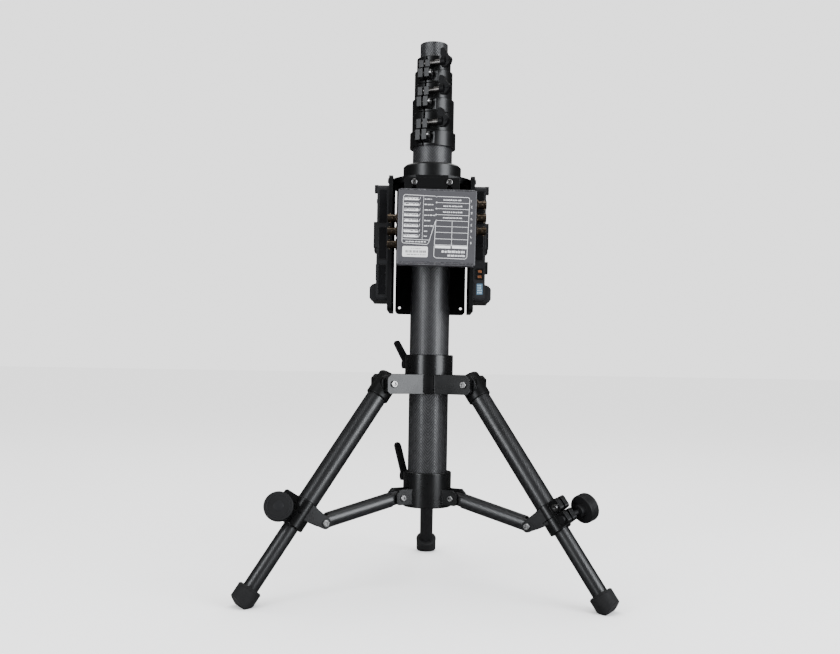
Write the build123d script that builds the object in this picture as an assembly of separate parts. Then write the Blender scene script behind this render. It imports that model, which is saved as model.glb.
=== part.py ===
from build123d import *
import math
import os

# Telescopic carbon mast on a folding tripod, with a converter box and two
# battery plates on a head near the top. Millimetres. +Z runs up the mast, the
# origin is where the mast axis meets the floor, and -Y is the converter side.

# ---- mast -------------------------------------------------------------------
TUBE_R = (25.0, 22.5, 20.0, 17.5)          # outer radii, widest section first
TUBE_WALL = 2.44                           # leaves 0.06 mm between sections
TUBE_Z = ((103.0, 575.0), (125.0, 616.5), (135.0, 652.3), (145.0, 689.0))
RING_WALL = 4.0
FIT = 0.05                                 # radial running clearance
CLAMPS = (                                 # bottom, split, top, pad top, pad foot
    (556.5, 575.0, 599.2, 588.2, 561.7),
    (599.35, 616.5, 635.7, 628.7, 604.0),
    (635.85, 652.3, 670.3, 662.7, 641.0),
)
CLAMP_SCREW_UP = (8.3, 7.6, 6.4)           # lever screw above each split
EAR_AZ = 245.0                             # mast clamp ears, front left
EAR_OUT = 7.0                              # ears beyond the ring
EAR_HALF = 7.5
SLOT = 2.4
SCREW_R = 2.5

# ---- head -------------------------------------------------------------------
CAP_R, CAP_Z = 36.7, (515.0, 534.0)
FLANGE_R, FLANGE_Z = 52.0, (507.0, 515.0)
PLATE_T, PLATE_W, PLATE_Z = 5.0, 92.0, (348.5, 515.0)
SIDE_X, REAR_Y, FRONT_Y = 48.0, 46.0, -48.0
BRACKET_W, BRACKET_T, BRACKET_Z = 68.0, 4.0, (412.0, 511.0)
BOX_W, BOX_H, BOX_D = 94.0, 89.0, 26.0
BOX_X, BOX_Z, BOX_TURN = 6.6, 446.8, 0.65
BNC_PITCH, BNC_R, BNC_OUT = 15.8, 4.8, 12.5
PACK_W, PACK_T, PACK_Z = 88.0, 14.0, (361.0, 503.0)

# ---- tripod -----------------------------------------------------------------
LEG_AZ = (210.0, 330.0, 90.0)
HUB_R = 30.5
UPPER_Z, UPPER_CHEEK_Z = (246.0, 295.0), (246.0, 270.0)
LOWER_Z, LOWER_CHEEK_Z = (103.0, 147.0), (107.5, 126.5)
COLLAR_EAR_AZ = 110.0
PIVOT = (62.0, 258.0)                      # leg pivot, radius and height
FLOOR_R = 248.4                            # where the leg axis meets the floor
LEG_ANGLE = math.degrees(math.atan2(FLOOR_R - PIVOT[0], PIVOT[1]))
LEG_LEN = math.hypot(FLOOR_R - PIVOT[0], PIVOT[1])
LEG_R, SHANK_R = 12.5, 9.5
STRUT_IN = (41.0, 116.0)
LUG_S, LUG_IN = 183.7, 29.5                # strut pivot along and inside the leg
STRUT_R, EYE_R = 9.3, 6.8
STRUT_START, STRUT_NOSE = 12.5, 8.0
LUG_HALF, LUG_OUT = 9.6, 13.6                # inner and outer faces of the strut lugs
LEG_SPLIT, RING_LEN, RING_R = 191.0, 17.0, 14.0
CLAMP_TURN = 27.0                          # leg clamp ears turned off the leg plane
LEG_EAR, EAR_SCREW_S, KNOB_S = 23.0, 184.0, 200.0
KNOB_R, KNOB_T, KNOB_OUT = 17.0, 13.0, 30.0
FOOT_R, FOOT_S = 14.6, 292.0

os.makedirs("parts", exist_ok=True)


def save(name, *shapes):
    export_step(Compound(children=[s for shape in shapes for s in shape.solids()]), f"parts/{name}.step")


def cyl(r, z0, z1, x=0.0, y=0.0):
    return Pos(x, y, z0) * Cylinder(r, z1 - z0, align=(Align.CENTER, Align.CENTER, Align.MIN))


def tube(ro, ri, z0, z1):
    return cyl(ro, z0, z1) - cyl(ri, z0 - 1, z1 + 1)


def block(x0, x1, y0, y1, z0, z1):
    return Pos((x0 + x1) / 2, (y0 + y1) / 2, (z0 + z1) / 2) * Box(x1 - x0, y1 - y0, z1 - z0)


def rod(r, x0, x1, y=0.0, z=0.0):
    """A round bar along X."""
    return Pos(x0, y, z) * Rot(0, 90, 0) * Cylinder(r, x1 - x0, align=(Align.CENTER, Align.CENTER, Align.MIN))


def rod_y(r, y0, y1, x=0.0, z=0.0):
    return Pos(x, y0, z) * Rot(-90, 0, 0) * Cylinder(r, y1 - y0, align=(Align.CENTER, Align.CENTER, Align.MIN))


def prism_y(points, y0, y1):
    """A polygon drawn in X and Z, run from y0 to y1."""
    plane = Plane(origin=(0, y0, 0), x_dir=(1, 0, 0), z_dir=(0, -1, 0))
    return extrude(plane * make_face(Polyline(*points, close=True)), amount=-(y1 - y0))


def soften(shape, edges, r):
    try:
        return fillet(edges, r)
    except Exception:
        try:
            return fillet(edges, r / 2)
        except Exception:
            return shape


def turn(az, shape):
    return Rot(0, 0, az) * shape


def screw_y(y0, y1, x, z, r, head_r, head_t, flip=False):
    """A cap screw along Y with its head beyond y1, or beyond y0 when flipped."""
    shank = rod_y(r, y0, y1, x, z)
    if flip:
        head = rod_y(head_r, y0 - head_t, y0, x, z) - rod_y(head_r * 0.45, y0 - head_t - 1, y0 - head_t * 0.5, x, z)
    else:
        head = rod_y(head_r, y1, y1 + head_t, x, z) - rod_y(head_r * 0.45, y1 + head_t * 0.5, y1 + head_t + 1, x, z)
    return shank + head


# ---- mast -------------------------------------------------------------------
def mast_tube(i):
    r = TUBE_R[i]
    z0, z1 = TUBE_Z[i]
    return tube(r, r - TUBE_WALL, z0, z1)


def mast_clamp(i):
    """Two stacked rings in one piece, cut half through between them and split at the ears."""
    z0, zs, z1, pad_top, pad_foot = CLAMPS[i]
    r_low, r_up = TUBE_R[i] + RING_WALL, TUBE_R[i + 1] + RING_WALL
    low, up = cyl(r_low, z0, zs), cyl(r_up, zs, z1)
    up = soften(up, up.faces().sort_by(Axis.Z)[-1].edges(), 1.0)
    low_x, up_x = r_low + EAR_OUT, r_up + EAR_OUT
    low_ear = prism_y([(r_low - 8, zs - 0.4), (low_x, zs - 0.4), (low_x, pad_foot), (r_low - 4, z0 + 1), (r_low - 8, z0 + 1)],
                      -EAR_HALF, EAR_HALF)
    up_ear = block(r_up - 8, up_x, -EAR_HALF, EAR_HALF, zs + 1.6, pad_top)
    body = low + low_ear + up + up_ear
    body -= cyl(TUBE_R[i], z0 - 1, zs)
    body -= cyl(TUBE_R[i + 1] + FIT, zs - 0.5, z1 + 1)
    body -= block(0, r_low + 20, -SLOT / 2, SLOT / 2, z0 - 1, z1 + 1)
    body -= block(-12, r_low + 20, -r_low - 5, r_low + 5, zs, zs + 0.9)
    body -= block(24.6 * r_low / 29.0, r_low + 2, EAR_HALF + 0.01, 13.5, z0 + 2.0, zs - 2.2)
    body -= rod_y(SCREW_R + 0.1, -20, 20, up_x - 4.0, zs + CLAMP_SCREW_UP[i])
    body -= rod_y(SCREW_R, -20, 20, low_x - 4.0, (zs + pad_foot) / 2)
    return turn(EAR_AZ, body)


def mast_clamp_screw(i):
    z0, zs, z1, pad_top, pad_foot = CLAMPS[i]
    x = TUBE_R[i] + RING_WALL + EAR_OUT - 4.0
    return turn(EAR_AZ, screw_y(-EAR_HALF, EAR_HALF, x, (zs + pad_foot) / 2, SCREW_R, 3.8, 2.6))


def mast_lever(i):
    """Stud, spacer barrel and wedge-shaped lever on one axis, turning together."""
    z0, zs, z1, pad_top, pad_foot = CLAMPS[i]
    x, z = TUBE_R[i + 1] + RING_WALL + EAR_OUT - 4.0, zs + CLAMP_SCREW_UP[i]
    outline = [(22.8, -6.2), (29.5, -6.8), (33.8, -3.0), (35.4, 2.0), (34.2, 5.4), (30.0, 8.6), (27.4, 15.4),
               (26.0, 16.6), (22.6, 16.6), (21.4, 15.2), (21.4, 8.2), (22.8, 6.6)]
    plane = Plane(origin=(x - 3.6, 0, z), x_dir=(0, 1, 0), z_dir=(1, 0, 0))
    head = extrude(plane * make_face(Polyline(*outline, close=True)), amount=7.2)
    head = soften(head, head.edges().filter_by(Axis.X), 0.9)
    head += rod_y(6.6, 22.8, 28.4, x, z)
    tip = Pos(x + 3.6, 32.4, z + 1.6) * Rot(0, 90, 0) * Cylinder(1.9, 1.2, align=(Align.CENTER, Align.CENTER, Align.MIN))
    stud = rod_y(SCREW_R, -EAR_HALF - 2.0, 23.5, x, z)
    nut = rod_y(3.6, -EAR_HALF - 2.4, -EAR_HALF - 0.1, x, z)
    barrel = rod_y(4.0, EAR_HALF + 6.6, 23.2, x, z)
    washer = rod_y(3.6, EAR_HALF + 0.1, EAR_HALF + 1.1, x, z)
    return turn(EAR_AZ, head + tip + stud + nut + barrel + washer)


# ---- head -------------------------------------------------------------------
def head_cap():
    cap = cyl(CAP_R, *CAP_Z)
    cap = chamfer(cap.faces().sort_by(Axis.Z)[-1].edges(), 2.2)
    cap -= cyl(TUBE_R[0], CAP_Z[0] - 1, CAP_Z[1] + 1)
    cap -= Pos(0, 0, CAP_Z[1] - 1.2) * cyl(TUBE_R[0] + 2.0, 0, 3)
    for az in (45, 135):
        cap -= turn(az, rod(2.0, 24, 60, 0, 524.0))
    return cap


def flange():
    disc = cyl(FLANGE_R, *FLANGE_Z) & block(-SIDE_X, SIDE_X, FRONT_Y, REAR_Y, FLANGE_Z[0] - 1, FLANGE_Z[1] + 1)
    disc -= cyl(TUBE_R[0], FLANGE_Z[0] - 1, FLANGE_Z[1] + 1)
    return disc


def plate(normal_x):
    """One hanging plate, drawn flat in Y and Z with its outside towards +X."""
    p = block(0, PLATE_T, -PLATE_W / 2, PLATE_W / 2, *PLATE_Z)
    p = fillet(p.edges().filter_by(Axis.X), 5.0)
    for y in (-40.3, 40.3):
        p -= rod(1.7, -1, PLATE_T + 1, y, PLATE_Z[0] + 8.5)
    for y in (-26, 26):
        p -= rod(1.6, -1, PLATE_T + 1, y, 511.0)
    if not normal_x:
        for z in (380.0, 430.0):
            p -= rod(8.0, -1, PLATE_T + 1, 0, z)
        for y in (-26, 26):
            p -= rod(3.3, PLATE_T - 2.2, PLATE_T + 1, y, 511.0)
    return p


def side_plate(sign):
    p = Pos(SIDE_X, 0, 0) * plate(True)
    return p if sign > 0 else Rot(0, 0, 180) * p


def rear_plate():
    return Pos(0, REAR_Y, 0) * Rot(0, 0, 90) * plate(False)


def front_bracket():
    y0, y1 = FRONT_Y - BRACKET_T, FRONT_Y
    p = block(-BRACKET_W / 2, BRACKET_W / 2, y0, y1, *BRACKET_Z)
    p = fillet(p.edges().filter_by(Axis.Y), 2.5)
    for x in (-21.6, 21.6):
        p -= block(x - 2.0, x + 2.0, y0 - 1, y1 + 1, 496.5, 507.5)
        p -= block(x - 3.6, x + 3.6, y0 - 1, y1 + 1, 496.5, 499.3)
    for x in (-20, 30):
        for z in (425.0, 470.0):
            p -= rod_y(1.6, y0 - 1, y1 + 1, x, z)
    return p


def head_screws():
    out = []
    for x in (-21.6, 21.6):
        shank = rod_y(1.5, FRONT_Y - BRACKET_T - 0.1, FRONT_Y - 0.2, x, 505.4)
        button = rod_y(3.9, FRONT_Y - BRACKET_T - 2.3, FRONT_Y - BRACKET_T, x, 505.4)
        button = soften(button, button.faces().sort_by(Axis.Y)[0].edges(), 1.4)
        button -= rod_y(1.5, FRONT_Y - BRACKET_T - 3, FRONT_Y - BRACKET_T - 1.2, x, 505.4)
        out.append(shank + button)
    for az in (0, 180, 90):
        reach = REAR_Y if az == 90 else SIDE_X
        for y in (-26, 26):
            seat = reach + PLATE_T - (2.2 if az == 90 else 0.0)     # the rear heads are sunk in
            shank = rod(1.55, reach + 0.2, seat + 0.1, y, 511.0)
            button = rod(3.2, seat, seat + 2.0, y, 511.0)
            button -= rod(1.3, seat + 1.0, seat + 3, y, 511.0)
            out.append(turn(az, shank + button))
    return out


# ---- converter box ----------------------------------------------------------
BOX_FRONT = FRONT_Y - BRACKET_T - BOX_D
BNC_LEFT, BNC_RIGHT = (BOX_Z - 20.4, BOX_Z - 4.6, BOX_Z + 11.2), (BOX_Z - 1.6, BOX_Z + 14.2, BOX_Z + 30.0)


def on_box(shape):
    """Turns a piece with the slightly rolled box."""
    return Pos(BOX_X, 0, BOX_Z) * Rot(0, BOX_TURN, 0) * Pos(-BOX_X, 0, -BOX_Z) * shape


def box_holes(shape, x, zs):
    for z in zs:
        shape -= rod(BNC_R - 0.6, x - 6, x + 6, (BOX_FRONT + FRONT_Y - BRACKET_T) / 2, z)
    return shape


def box_case():
    x0, x1 = BOX_X - BOX_W / 2, BOX_X + BOX_W / 2
    z0, z1 = BOX_Z - BOX_H / 2, BOX_Z + BOX_H / 2
    y0, y1 = BOX_FRONT + 1.6, FRONT_Y - BRACKET_T
    case = block(x0, x1, y0, y1, z0, z1)
    case = fillet(case.edges().filter_by(Axis.Y), 0.6)
    case -= block(x0 + 1.6, x1 - 1.6, y0 - 1, y1 - 1.6, z0 + 1.6, z1 - 1.6)
    case = box_holes(case, x0, BNC_LEFT)
    case = box_holes(case, x1, BNC_RIGHT)
    return on_box(case)


def box_cover():
    """The front cover, folded back over the top and the bottom by a small lip."""
    x0, x1 = BOX_X - BOX_W / 2, BOX_X + BOX_W / 2
    z0, z1 = BOX_Z - BOX_H / 2, BOX_Z + BOX_H / 2
    cover = block(x0, x1, BOX_FRONT, BOX_FRONT + 1.6, z0, z1)
    cover = soften(cover, cover.edges().filter_by(Axis.Z).group_by(Axis.Y)[0], 1.2)
    for low, high in ((z1, z1 + 1.0), (z0 - 1.0, z0)):
        lip = block(x0 + 2.5, x1 - 2.5, BOX_FRONT, BOX_FRONT + 9, low, high)
        cover += soften(lip, lip.edges().filter_by(Axis.X).group_by(Axis.Y)[0], 0.45)
    for low, high in ((z1 - 1.0, z1 - 0.3), (z0 + 0.3, z0 + 1.0), (z0 + 2.2, z0 + 2.8)):
        cover -= block(x0 + 2.5, x1 - 2.5, BOX_FRONT - 1, BOX_FRONT + 0.8, low, high)
    return on_box(cover)


def bnc_group():
    """Six coaxial sockets, three on each side, with two bayonet pegs each."""
    out = []
    y = (BOX_FRONT + FRONT_Y - BRACKET_T) / 2
    for side, zs in ((-1, BNC_LEFT), (1, BNC_RIGHT)):
        x = BOX_X + side * BOX_W / 2
        for z in zs:
            s = rod(BNC_R + 1.6, 0, 2.2) + rod(BNC_R, 2.2, BNC_OUT) + rod(BNC_R - 0.65, -4.0, 0.5)
            s -= rod(BNC_R - 0.8, 4.0, BNC_OUT + 1)
            s += rod(1.6, 3.5, BNC_OUT - 2.0)
            s += Pos(BNC_OUT - 3.0, 0, -BNC_R - 0.9) * Cylinder(1.0, 2 * BNC_R + 1.8, align=(Align.CENTER, Align.CENTER, Align.MIN)) \
                - rod(BNC_R - 0.7, 0, BNC_OUT + 2)
            out.append(on_box(Pos(x, y, z) * (Rot(0, 0, 180) * s if side < 0 else s)))
    return out


def box_board():
    y = (BOX_FRONT + FRONT_Y - BRACKET_T) / 2 + 6.0
    board = block(BOX_X - 41, BOX_X + 41, y, y + 1.6, BOX_Z - 39, BOX_Z + 39)
    for x, z in ((-36, -34), (36, -34), (-36, 34), (36, 34)):
        board += rod_y(2.5, y + 1.6, FRONT_Y - BRACKET_T - 1.6, BOX_X + x, BOX_Z + z)
    return on_box(board)


# ---- battery plates ---------------------------------------------------------
def battery_plate(sign):
    """A wedge-lock battery plate: slab, hooks at both ends and a contact block in a wedge recess."""
    x0, x1 = SIDE_X + PLATE_T, SIDE_X + PLATE_T + PACK_T
    w = PACK_W / 2
    slab = block(x0, x1, -w, w, *PACK_Z)
    slab = fillet(slab.edges().filter_by(Axis.X), 6.0)
    wedge = Plane(origin=(x1 - 5, 0, 0), x_dir=(0, 1, 0), z_dir=(1, 0, 0)) * make_face(
        Polyline((-27, 510), (27, 510), (17, 418), (-17, 418), close=True))
    slab -= extrude(wedge, amount=6)
    slab += block(x1 - 1, x1 + 3.5, -w + 4, -30, 494.0, PACK_Z[1]) + block(x1 - 1, x1 + 3.5, 30, w - 4, 494.0, PACK_Z[1])
    contacts = block(x1 - 5.5, x1 + 4.5, -15.5, 15.5, 424.0, 459.0)
    contacts = soften(contacts, contacts.edges().filter_by(Axis.X), 2.0)
    for k in range(4):
        contacts -= block(x1 + 1, x1 + 6, -11.6 + 6.4 * k, -7.6 + 6.4 * k, 440.0, 460.0)
    slab += contacts
    for y0, y1 in ((-w + 1, -22), (22, w - 1)):
        slab += block(x1 - 1, x1 + 3.8, y0, y1, 426.0, 457.0)
    foot = prism_y([(x1 - 2, 383.0), (x1 + 5.0, 380.5), (x1 + 8.0, 377.0), (x1 + 8.0, 364.0), (x1 + 6.0, PACK_Z[0]),
                    (x1 - 2, PACK_Z[0])], -w + 6, w - 6)
    slab += foot
    slab -= block(x1 + 3.5, x1 + 12, -22, 22, 355, 374)
    if sign > 0:
        slab -= block(x0 + 3.2, x1 - 2.2, -w - 1, -w + 9, 388.0, 401.5)
        slab -= block(x1 - 6.0, x1 + 1, -34.3, -17.7, 396.2, 411.3)
    else:
        slab -= block(x1 - 6.0, x1 + 1, 17.7, 34.3, 396.2, 411.3)
    return slab if sign > 0 else mirror(slab, Plane.YZ)


def battery_button(sign):
    x1 = SIDE_X + PLATE_T + PACK_T
    y = -26 if sign > 0 else 26
    b = block(x1 - 1.8, x1 + 4.0, y - 8.0, y + 8.0, 396.5, 411.0)
    b = soften(b, b.edges().filter_by(Axis.X), 1.5)
    return b if sign > 0 else mirror(b, Plane.YZ)


def power_socket():
    """The two-pin auxiliary socket let into the front edge of one battery plate."""
    x0, x1 = SIDE_X + PLATE_T + 3.2, SIDE_X + PLATE_T + PACK_T - 2.2
    s = block(x0, x1, -PACK_W / 2 - 1.2, -PACK_W / 2 + 9, 388.0, 401.5)
    for z in (391.6, 397.9):
        s -= block(x0 + 2.1, x1 - 2.1, -PACK_W / 2 - 2, -PACK_W / 2 + 6, z - 1.9, z + 1.9)
        s += block(x0 + 3.4, x1 - 3.4, -PACK_W / 2 - 0.4, -PACK_W / 2 + 7, z - 0.8, z + 0.8)
    return s


# ---- collars ----------------------------------------------------------------
def collar(z0, z1, cheek_z, half, inner, reach, pivot_r, pivot_z, bolt_r, ear_z):
    body = cyl(HUB_R, z0, z1)
    body = soften(body, body.faces().sort_by(Axis.Z)[-1].edges() + body.faces().sort_by(Axis.Z)[0].edges(), 1.2)
    for az in LEG_AZ:
        arm = prism_y([(14, cheek_z[0]), (reach - 3, cheek_z[0]), (reach, cheek_z[0] + 3), (reach, cheek_z[1] - 5),
                       (reach - 5, cheek_z[1]), (14, cheek_z[1])], -half, half)
        body += turn(az, arm)
    for az in LEG_AZ:
        gap = block(HUB_R + 0.5, reach + 5, -inner, inner, cheek_z[0] - 1, cheek_z[1] + 1)
        gap += block(HUB_R + 0.5, reach + 5, -inner, inner, cheek_z[0] - 1, cheek_z[1] + 1)
        body -= turn(az, gap)
        body -= turn(az, rod_y(bolt_r, -half - 2, half + 2, pivot_r, pivot_z))
    ears = block(HUB_R - 6, HUB_R + 11, -8.2, 8.2, *ear_z)
    ears = soften(ears, ears.edges().filter_by(Axis.Y), 3.0)
    body += turn(COLLAR_EAR_AZ, ears)
    body -= cyl(TUBE_R[0] + FIT, z0 - 1, z1 + 1)
    body -= turn(COLLAR_EAR_AZ, block(0, HUB_R + 20, -SLOT / 2, SLOT / 2, z0 - 1, z1 + 1))
    body -= turn(COLLAR_EAR_AZ, rod_y(3.1, -20, 20, HUB_R + 5.5, (ear_z[0] + ear_z[1]) / 2))
    return body


def collar_lever(ear_z, length, lean):
    """A tapered hub with an arm that leans outwards, on a steel stud through the collar's ears."""
    x, z = HUB_R + 5.5, (ear_z[0] + ear_z[1]) / 2
    hub = Pos(x, 9.4, z) * Rot(-90, 0, 0) * Cone(6.6, 5.6, 14, align=(Align.CENTER, Align.CENTER, Align.MIN))
    outline = [(10.4, 0.0), (16.0, 8.0), (15.0 + lean * length, length - 4.0), (17.6 + lean * length, length),
               (21.6 + lean * length, length - 1.5), (22.6 + lean * length, length - 5.0), (23.0, 4.0), (22.0, 0.0)]
    plane = Plane(origin=(x - 3.8, 0, z), x_dir=(0, 1, 0), z_dir=(1, 0, 0))
    arm = extrude(plane * make_face(Polyline(*outline, close=True)), amount=7.6)
    arm = soften(arm, arm.edges().filter_by(Axis.X), 1.6)
    stud = rod_y(3.05, -11.0, 12, x, z)
    nut = rod_y(5.0, -11.0, -8.3, x, z)
    washer = rod_y(5.2, 8.3, 9.4, x, z)
    return turn(COLLAR_EAR_AZ, hub + arm + stud + nut + washer)


UPPER_EAR_Z, LOWER_EAR_Z = (273.0, 292.0), (129.0, 146.0)
UPPER_HALF, UPPER_IN, UPPER_REACH = 23.0, 15.0, 70.6
LOWER_HALF, LOWER_IN, LOWER_REACH = 12.6, 8.4, 49.6
BOLT_R, STRUT_BOLT_R = 3.5, 2.8


def pivot_bolts(r, half, pivot_r, pivot_z, head_r):
    out = []
    for az in LEG_AZ:
        bolt = rod_y(r, -half, half, pivot_r, pivot_z)
        for s in (-1, 1):
            y0, y1 = (half, half + 2.2) if s > 0 else (-half - 2.2, -half)
            head = rod_y(head_r, y0, y1, pivot_r, pivot_z)
            face = head.faces().sort_by(Axis.Y)[-1 if s > 0 else 0]
            head = soften(head, face.edges(), 0.9)
            head -= rod_y(head_r * 0.5, y0 + (0.6 if s > 0 else -1), y1 + (1 if s > 0 else -0.6), pivot_r, pivot_z)
            bolt += head
        out.append(turn(az, bolt))
    return out


# ---- legs -------------------------------------------------------------------
LEG_FRAME = Plane(origin=(PIVOT[0], 0, PIVOT[1]),
                  x_dir=(math.cos(math.radians(LEG_ANGLE)), 0, math.sin(math.radians(LEG_ANGLE))),
                  z_dir=(math.sin(math.radians(LEG_ANGLE)), 0, -math.cos(math.radians(LEG_ANGLE))))


def on_leg(az, shape):
    """Leg pieces are drawn with Z down the leg from its pivot and X outwards."""
    return turn(az, LEG_FRAME.location * shape)


def leg_hinge():
    """The cast head of a leg: a socket for the upper tube, closed and rounded over the pivot boss."""
    half = UPPER_IN - 0.3
    boss = rod_y(12.6, -half, half)
    boss = soften(boss, boss.edges().filter_by(GeomType.CIRCLE), 1.0)
    socket = cyl(14.6, -12.4, 20.5)
    socket = soften(socket, socket.faces().sort_by(Axis.Z)[0].edges(), 4.0)
    socket = chamfer(socket.faces().sort_by(Axis.Z)[-1].edges(), 1.0)
    body = boss + socket
    body -= rod_y(BOLT_R + 0.05, -30, 30)
    body -= cyl(LEG_R, 9.0, 40)
    return body


def leg_tube():
    return tube(LEG_R, SHANK_R + 0.06, 9.0, LEG_SPLIT - 0.4)


def leg_clamp():
    """Upper ring on the fixed tube, lower ring round the sliding one, ears outside and strut cheeks inside."""
    s0, s1, s2 = LEG_SPLIT - RING_LEN - 0.4, LEG_SPLIT, LEG_SPLIT + RING_LEN + 0.4
    rings = cyl(RING_R, s0, s2)
    rings = chamfer(rings.faces().sort_by(Axis.Z)[-1].edges() + rings.faces().sort_by(Axis.Z)[0].edges(), 0.8)
    ears = block(8, LEG_EAR + 6.5, -7.2, 7.2, s0 + 1.2, s1 - 0.6)
    ears = soften(ears, ears.edges().filter_by(Axis.Y), 3.5)
    low = block(8, LEG_EAR + 6.5, -7.2, 7.2, s1 + 0.6, s2 - 1.2)
    low = soften(low, low.edges().filter_by(Axis.Y), 3.5)
    turned = ears + low
    body = rings + Rot(0, 0, CLAMP_TURN) * turned
    boss = rod_y(7.0, -LUG_OUT, LUG_OUT, -LUG_IN, LUG_S)
    web = prism_y([(-2.0, s0 + 1.0), (-LUG_IN - 1.0, LUG_S - 6.9), (-LUG_IN - 1.0, LUG_S + 6.9), (-2.0, s1 + 5.0)],
                  -LUG_OUT, LUG_OUT)
    lugs = (boss + web) - block(-60, -RING_R + 0.4, -LUG_HALF, LUG_HALF, s0 - 20, s2 + 20)
    body += lugs
    body -= cyl(LEG_R, s0 - 1, s1 - 0.4)
    body -= cyl(SHANK_R + FIT, s1 - 1, s2 + 1)
    cut = block(0, 60, -SLOT / 2, SLOT / 2, s0 - 1, s2 + 1)
    cut += block(-3.0, 60, -40, 40, s1 - 0.4, s1 + 0.4)
    cut += rod_y(2.6, -20, 20, LEG_EAR, EAR_SCREW_S) + rod_y(3.1, -20, 20, LEG_EAR, KNOB_S)
    body -= Rot(0, 0, CLAMP_TURN) * cut
    body -= rod_y(STRUT_BOLT_R, -20, 20, -LUG_IN, LUG_S)
    return body


def leg_bolts():
    """The fixed ear screw and the two half screws of the strut pivot."""
    ear = screw_y(-7.2, 7.2, LEG_EAR, EAR_SCREW_S, 2.6, 4.2, 3.0)
    nut = rod_y(3.8, -9.4, -7.2, LEG_EAR, EAR_SCREW_S)
    out = [Rot(0, 0, CLAMP_TURN) * (ear + nut)]
    for s in (-1, 1):
        a, b = sorted((s * LUG_HALF, s * LUG_OUT))
        c, d = sorted((s * LUG_OUT, s * (LUG_OUT + 2.0)))
        head = rod_y(4.2, c, d, -LUG_IN, LUG_S)
        face = head.faces().sort_by(Axis.Y)[-1 if s > 0 else 0]
        head = soften(head, face.edges(), 0.8)
        head -= rod_y(2.0, *sorted((s * (LUG_OUT + 0.6), s * (LUG_OUT + 3.0))), -LUG_IN, LUG_S)
        out.append(rod_y(STRUT_BOLT_R, a, b, -LUG_IN, LUG_S) + head)
    return out


def leg_shank():
    return tube(SHANK_R, SHANK_R - 2.0, 105.0, LEG_LEN - 12.0)


def leg_foot():
    """A rubber boot, cut level with the floor and bevelled outside."""
    boot = cyl(FOOT_R, FOOT_S, LEG_LEN + 20)
    boot = chamfer(boot.faces().sort_by(Axis.Z)[0].edges(), 1.6)
    toe = prism_y([(FOOT_R + 6, 306.8), (FOOT_R - 27.4, 321.34), (FOOT_R - 27.4, 345), (FOOT_R + 6, 345)], -30, 30)
    boot -= toe
    boot -= cyl(SHANK_R, FOOT_S - 1, LEG_LEN - 12.0)
    return boot


def foot_at(az):
    boot = on_leg(0, leg_foot()) & block(0, 400, -60, 60, 0, 200)
    low = [e for e in boot.edges() if e.bounding_box().max.Z < 14.0]
    boot = soften(boot, low, 3.0)
    return turn(az, boot)


def leg_knob():
    """A round clamping knob on a steel screw through the lower ears."""
    y1 = -KNOB_OUT - KNOB_T / 2
    y0 = -KNOB_OUT + KNOB_T / 2
    disc = rod_y(KNOB_R, y1, y0)
    disc = soften(disc, disc.edges().filter_by(GeomType.CIRCLE), 1.0)
    hub = rod_y(7.5, y0, y0 + 6.0)
    shaft = rod_y(3.0, y0, 9.8)
    tip = rod_y(4.6, 7.5, 10.4)
    knob = disc + hub + shaft + tip
    return Rot(0, 0, CLAMP_TURN) * (Pos(LEG_EAR, 0, KNOB_S) * knob)


def strut():
    """Side strut: a tube with a flat eye at the hub end and a rounded nose between the lugs."""
    cos_a, sin_a = math.cos(math.radians(LEG_ANGLE)), math.sin(math.radians(LEG_ANGLE))
    lug_x = PIVOT[0] + LUG_S * sin_a - LUG_IN * cos_a
    lug_z = PIVOT[1] - LUG_S * cos_a - LUG_IN * sin_a
    dx, dz = lug_x - STRUT_IN[0], lug_z - STRUT_IN[1]
    length = math.hypot(dx, dz)
    body = tube(STRUT_R, STRUT_R - 1.6, STRUT_START, length - STRUT_NOSE)
    half = LOWER_IN - 0.3
    body += rod_y(EYE_R, -half, half) + block(-EYE_R, EYE_R, -half, half, 0, STRUT_START + 2.0) & cyl(STRUT_R, -20, 40)
    body += cyl(STRUT_R - 1.6, STRUT_START, STRUT_START + 12.0) + cyl(STRUT_R, STRUT_START, STRUT_START + 2.0)
    nose = rod_y(EYE_R, -STRUT_R, STRUT_R, 0, length) + block(-EYE_R, EYE_R, -STRUT_R, STRUT_R, length - STRUT_NOSE - 2, length)
    body += nose & cyl(STRUT_R, 0, length + 20)
    body += cyl(STRUT_R - 1.6, length - STRUT_NOSE - 12.0, length - STRUT_NOSE)
    body += cyl(STRUT_R, length - STRUT_NOSE - 2.0, length - STRUT_NOSE)
    body -= rod_y(STRUT_BOLT_R + 0.05, -20, 20, 0, 0)
    print("strut", length, "lug", lug_x, lug_z, "angle", math.degrees(math.atan2(-dz, dx)))
    frame = Plane(origin=(STRUT_IN[0], 0, STRUT_IN[1]), x_dir=(-dz / length, 0, dx / length),
                  z_dir=(dx / length, 0, dz / length))
    return frame.location * body


# ---- write every node -------------------------------------------------------
for i in range(4):
    save(f"mast_tube_{i + 1}", mast_tube(i))
for i in range(3):
    save(f"mast_clamp_{i + 1}", mast_clamp(i))
    save(f"mast_clamp_screw_{i + 1}", mast_clamp_screw(i))
    save(f"mast_lever_{i + 1}", mast_lever(i))
top_r = TUBE_R[3] - TUBE_WALL
save("top_plug", cyl(top_r, 671.0, 689.0) - cyl(4.76, 675.0, 690.0))

save("head_cap", head_cap())
save("head_flange", flange())
save("side_plate_left", side_plate(-1))
save("side_plate_right", side_plate(1))
save("rear_plate", rear_plate())
save("front_bracket", front_bracket())
save("head_screws", *head_screws())

save("box_case", box_case())
save("box_cover", box_cover())
save("box_sockets", *bnc_group())
save("box_board", box_board())

for side, sign in (("left", -1), ("right", 1)):
    save(f"battery_plate_{side}", battery_plate(sign))
    save(f"battery_button_{side}", battery_button(sign))
save("power_socket", power_socket())

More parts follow.
